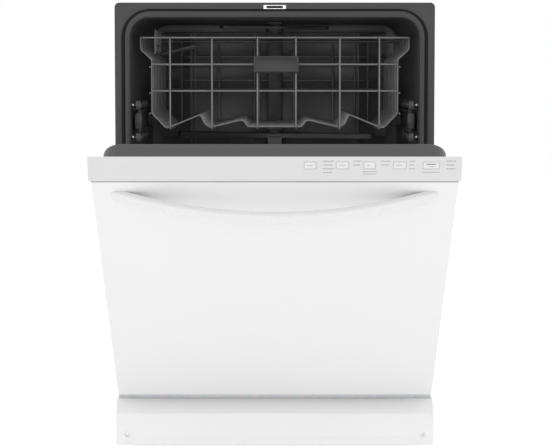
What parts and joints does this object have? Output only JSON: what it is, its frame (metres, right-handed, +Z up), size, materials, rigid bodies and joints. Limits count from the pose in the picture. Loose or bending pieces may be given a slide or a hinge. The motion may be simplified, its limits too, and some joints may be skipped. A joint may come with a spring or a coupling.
{
  "type": "built-in dishwasher",
  "caption": "Under-counter dishwasher with a part-open drop-down door, bowed handle, sloped control console, two wire racks, spray arms and a toe panel.",
  "frame": {"origin": "on the floor, under the middle of the machine's overall box, door standing open at rest", "axes": "+Z up, +Y to the back of the machine, +X to the right as one faces the door"},
  "size_m": [0.608, 1.1071, 0.846],
  "materials": {
    "tub_plastic": "satin moulded grey plastic",
    "gasket_rubber": "matte rubber",
    "sound_blanket": "matted recycled fibre with a black scrim",
    "galvanised_steel": "galvanised sheet with faint spangle",
    "bright_steel": "bright plated steel",
    "toe_panel_enamel": "white baked enamel",
    "valve_plastic": "off-white nylon",
    "sump_plastic": "dark moulded plastic",
    "motor_enamel": "black enamelled motor shell",
    "heater_steel": "dull stainless sheath",
    "screen_steel": "perforated stainless screen",
    "spray_plastic": "moulded grey plastic",
    "spring_steel": "oiled spring wire",
    "door_enamel": "white baked enamel, low gloss",
    "liner_plastic": "satin moulded grey plastic",
    "console_plastic": "white moulded plastic, fine texture",
    "lamp_lens": "smoked clear lens",
    "board_laminate": "green solder mask",
    "handle_plastic": "white painted handle",
    "dispenser_plastic": "grey moulded plastic",
    "cap_plastic": "grey moulded plastic",
    "rail_plastic": "grey moulded plastic",
    "rack_coating": "grey nylon coated wire",
    "badge_plastic": "grey moulded plate, left plain",
    "basket_plastic": "grey moulded plastic",
    "wheel_plastic": "grey acetal",
    "key_plastic": "white moulded key",
    "zinc_steel": "zinc plated steel"
  },
  "bodies": {
    "chassis": {"tub": "tub_plastic", "door_gasket": "gasket_rubber", "tub_insulation": "sound_blanket", "base_frame": "galvanised_steel", "tub_saddles": "galvanised_steel", "hinge_brackets": "galvanised_steel", "mounting_brackets": "galvanised_steel", "latch_strike": "bright_steel", "kick_panel": "toe_panel_enamel", "kick_panel_screws": "bright_steel", "junction_box": "galvanised_steel", "inlet_valve": "valve_plastic", "sump": "sump_plastic", "wash_pump": "motor_enamel", "drain_pump": "sump_plastic", "heating_element": "heater_steel", "filter_plate": "screen_steel", "spray_feed": "spray_plastic", "roller_studs": "bright_steel", "door_spring_left": "spring_steel", "door_spring_right": "spring_steel"},
    "door": {"door_outer_panel": "door_enamel", "door_liner": "liner_plastic", "door_console": "console_plastic", "indicator_lights": "lamp_lens", "control_board": "board_laminate", "door_handle": "handle_plastic", "hinge_arms": "galvanised_steel", "dispenser_housing": "dispenser_plastic"},
    "cycles_button": {"cycles_button": "key_plastic"},
    "temp_button": {"temp_button": "key_plastic"},
    "dry_button": {"dry_button": "key_plastic"},
    "delay_button": {"delay_button": "key_plastic"},
    "start_button": {"start_button": "key_plastic"},
    "latch_hook": {"latch_hook": "spring_steel"},
    "dispenser_lid": {"dispenser_lid": "dispenser_plastic"},
    "rinse_aid_cap": {"rinse_aid_cap": "cap_plastic"},
    "slide_rails": {"slide_rails": "rail_plastic"},
    "upper_rack": {"upper_rack": "rack_coating", "rack_badge": "badge_plastic", "middle_feed_tube": "spray_plastic"},
    "rail_rollers_front_lower": {"rail_rollers_front_lower": "wheel_plastic"},
    "rail_rollers_front_upper": {"rail_rollers_front_upper": "wheel_plastic"},
    "rail_rollers_rear_lower": {"rail_rollers_rear_lower": "wheel_plastic"},
    "rail_rollers_rear_upper": {"rail_rollers_rear_upper": "wheel_plastic"},
    "front_cup_shelf": {"front_cup_shelf": "rack_coating"},
    "rear_cup_shelf": {"rear_cup_shelf": "rack_coating"},
    "middle_spray_arm": {"middle_spray_arm": "spray_plastic"},
    "ceiling_spray_arm": {"ceiling_spray_arm": "spray_plastic"},
    "lower_spray_arm": {"lower_spray_arm": "spray_plastic"},
    "lower_rack": {"lower_rack": "rack_coating"},
    "lower_rack_front_wheels": {"lower_rack_front_wheels": "wheel_plastic"},
    "lower_rack_rear_wheels": {"lower_rack_rear_wheels": "wheel_plastic"},
    "silverware_basket": {"silverware_basket": "basket_plastic"},
    "filter_cylinder": {"filter_cylinder": "screen_steel"},
    "overflow_float": {"overflow_float": "cap_plastic"},
    "leveling_foot_front_left": {"leveling_foot_front_left": "zinc_steel"},
    "leveling_foot_front_right": {"leveling_foot_front_right": "zinc_steel"},
    "leveling_foot_rear_left": {"leveling_foot_rear_left": "zinc_steel"},
    "leveling_foot_rear_right": {"leveling_foot_rear_right": "zinc_steel"}
  },
  "joints": [
    {"name": "door_hinge", "type": "hinge", "parent": "chassis", "child": "door", "pos_m": [0, -0.013, 0.171], "axis": [1, 0, 0], "range_deg": [-49.6, 40.4], "stiffness_Nm_per_rad": 20, "springref_deg": -56.44, "deforming": ["door_spring_left", "door_spring_right"]},
    {"name": "cycles_press", "type": "slide", "parent": "door", "child": "cycles_button", "axis": [0, 0.9678, 0.2518], "range_m": [0, 0.0008], "stiffness_N_per_m": 900, "springref_m": -0.0012},
    {"name": "temp_press", "type": "slide", "parent": "door", "child": "temp_button", "axis": [0, 0.9678, 0.2518], "range_m": [0, 0.0008], "stiffness_N_per_m": 900, "springref_m": -0.0012},
    {"name": "dry_press", "type": "slide", "parent": "door", "child": "dry_button", "axis": [0, 0.9678, 0.2518], "range_m": [0, 0.0008], "stiffness_N_per_m": 900, "springref_m": -0.0012},
    {"name": "delay_press", "type": "slide", "parent": "door", "child": "delay_button", "axis": [0, 0.9678, 0.2518], "range_m": [0, 0.0008], "stiffness_N_per_m": 900, "springref_m": -0.0012},
    {"name": "start_press", "type": "slide", "parent": "door", "child": "start_button", "axis": [0, 0.9678, 0.2518], "range_m": [0, 0.0008], "stiffness_N_per_m": 900, "springref_m": -0.0012},
    {"name": "latch_release", "type": "hinge", "parent": "door", "child": "latch_hook", "pos_m": [0, -0.53613, 0.57157], "axis": [-1, 0, 0], "range_deg": [0, 5], "stiffness_Nm_per_rad": 0.6, "springref_deg": -8.59},
    {"name": "dispenser_lid_hinge", "type": "hinge", "parent": "door", "child": "dispenser_lid", "pos_m": [0, -0.21748, 0.36275], "axis": [-1, 0, 0], "range_deg": [0, 100]},
    {"name": "rinse_aid_cap_turn", "type": "hinge", "parent": "door", "child": "rinse_aid_cap", "pos_m": [0.045, -0.25912, 0.39097], "axis": [0, 0.6481, 0.7615], "range_deg": [0, 90]},
    {"name": "rail_slide", "type": "slide", "parent": "chassis", "child": "slide_rails", "axis": [0, -1, 0], "range_m": [0, 0.21]},
    {"name": "upper_rack_slide", "type": "slide", "parent": "slide_rails", "child": "upper_rack", "axis": [0, -1, 0], "range_m": [0, 0.21]},
    {"name": "rail_rollers_front_lower_spin", "type": "hinge", "parent": "chassis", "child": "rail_rollers_front_lower", "pos_m": [0, 0.011, 0.59035], "axis": [1, 0, 0], "continuous": true},
    {"name": "rail_rollers_front_upper_spin", "type": "hinge", "parent": "chassis", "child": "rail_rollers_front_upper", "pos_m": [0, 0.011, 0.65165], "axis": [-1, 0, 0], "continuous": true},
    {"name": "rail_rollers_rear_lower_spin", "type": "hinge", "parent": "chassis", "child": "rail_rollers_rear_lower", "pos_m": [0, 0.175, 0.59035], "axis": [1, 0, 0], "continuous": true},
    {"name": "rail_rollers_rear_upper_spin", "type": "hinge", "parent": "chassis", "child": "rail_rollers_rear_upper", "pos_m": [0, 0.175, 0.65165], "axis": [-1, 0, 0], "continuous": true},
    {"name": "front_cup_shelf_fold", "type": "hinge", "parent": "upper_rack", "child": "front_cup_shelf", "pos_m": [-0.231, 0.135, 0.752], "axis": [0, 1, 0], "range_deg": [0, 76]},
    {"name": "rear_cup_shelf_fold", "type": "hinge", "parent": "upper_rack", "child": "rear_cup_shelf", "pos_m": [-0.231, 0.34, 0.752], "axis": [0, -1, 0], "range_deg": [0, 45]},
    {"name": "middle_spray_arm_spin", "type": "hinge", "parent": "upper_rack", "child": "middle_spray_arm", "pos_m": [0, 0.245, 0.582], "axis": [0, 0, 1], "continuous": true},
    {"name": "ceiling_spray_arm_spin", "type": "hinge", "parent": "chassis", "child": "ceiling_spray_arm", "pos_m": [0, 0.245, 0.802], "axis": [0, 0, 1], "continuous": true},
    {"name": "lower_spray_arm_spin", "type": "hinge", "parent": "chassis", "child": "lower_spray_arm", "pos_m": [0, 0.238, 0.212], "axis": [0, 0, 1], "continuous": true},
    {"name": "lower_rack_slide", "type": "slide", "parent": "chassis", "child": "lower_rack", "axis": [0, -1, 0], "range_m": [0, 0.095]},
    {"name": "lower_rack_front_wheels_spin", "type": "hinge", "parent": "lower_rack", "child": "lower_rack_front_wheels", "pos_m": [0, 0.108, 0.1972], "axis": [1, 0, 0], "continuous": true},
    {"name": "lower_rack_rear_wheels_spin", "type": "hinge", "parent": "lower_rack", "child": "lower_rack_rear_wheels", "pos_m": [0, 0.42, 0.1972], "axis": [1, 0, 0], "continuous": true},
    {"name": "silverware_basket_lift", "type": "slide", "parent": "lower_rack", "child": "silverware_basket", "axis": [0, 0, 1], "range_m": [0, 0.15]},
    {"name": "filter_twist", "type": "hinge", "parent": "chassis", "child": "filter_cylinder", "pos_m": [0, 0.31, 0.186], "axis": [0, 0, 1], "range_deg": [0, 90]},
    {"name": "float_rise", "type": "slide", "parent": "chassis", "child": "overflow_float", "axis": [0, 0, 1], "range_m": [0, 0.008]},
    {"name": "leveling_foot_front_left_adjust", "type": "slide", "parent": "chassis", "child": "leveling_foot_front_left", "axis": [0, 0, -1], "range_m": [0, 0.03]},
    {"name": "leveling_foot_front_right_adjust", "type": "slide", "parent": "chassis", "child": "leveling_foot_front_right", "axis": [0, 0, -1], "range_m": [0, 0.03]},
    {"name": "leveling_foot_rear_left_adjust", "type": "slide", "parent": "chassis", "child": "leveling_foot_rear_left", "axis": [0, 0, -1], "range_m": [0, 0.03]},
    {"name": "leveling_foot_rear_right_adjust", "type": "slide", "parent": "chassis", "child": "leveling_foot_rear_right", "axis": [0, 0, -1], "range_m": [0, 0.03]}
  ],
  "couplings": [
    {"joint": "rail_rollers_front_lower_spin", "follows": "rail_slide", "rad_per_m": 107.53},
    {"joint": "rail_rollers_front_upper_spin", "follows": "rail_slide", "rad_per_m": 107.53},
    {"joint": "rail_rollers_rear_lower_spin", "follows": "rail_slide", "rad_per_m": 107.53},
    {"joint": "rail_rollers_rear_upper_spin", "follows": "rail_slide", "rad_per_m": 107.53},
    {"joint": "lower_rack_front_wheels_spin", "follows": "lower_rack_slide", "rad_per_m": 55.556},
    {"joint": "lower_rack_rear_wheels_spin", "follows": "lower_rack_slide", "rad_per_m": 55.556}
  ]
}
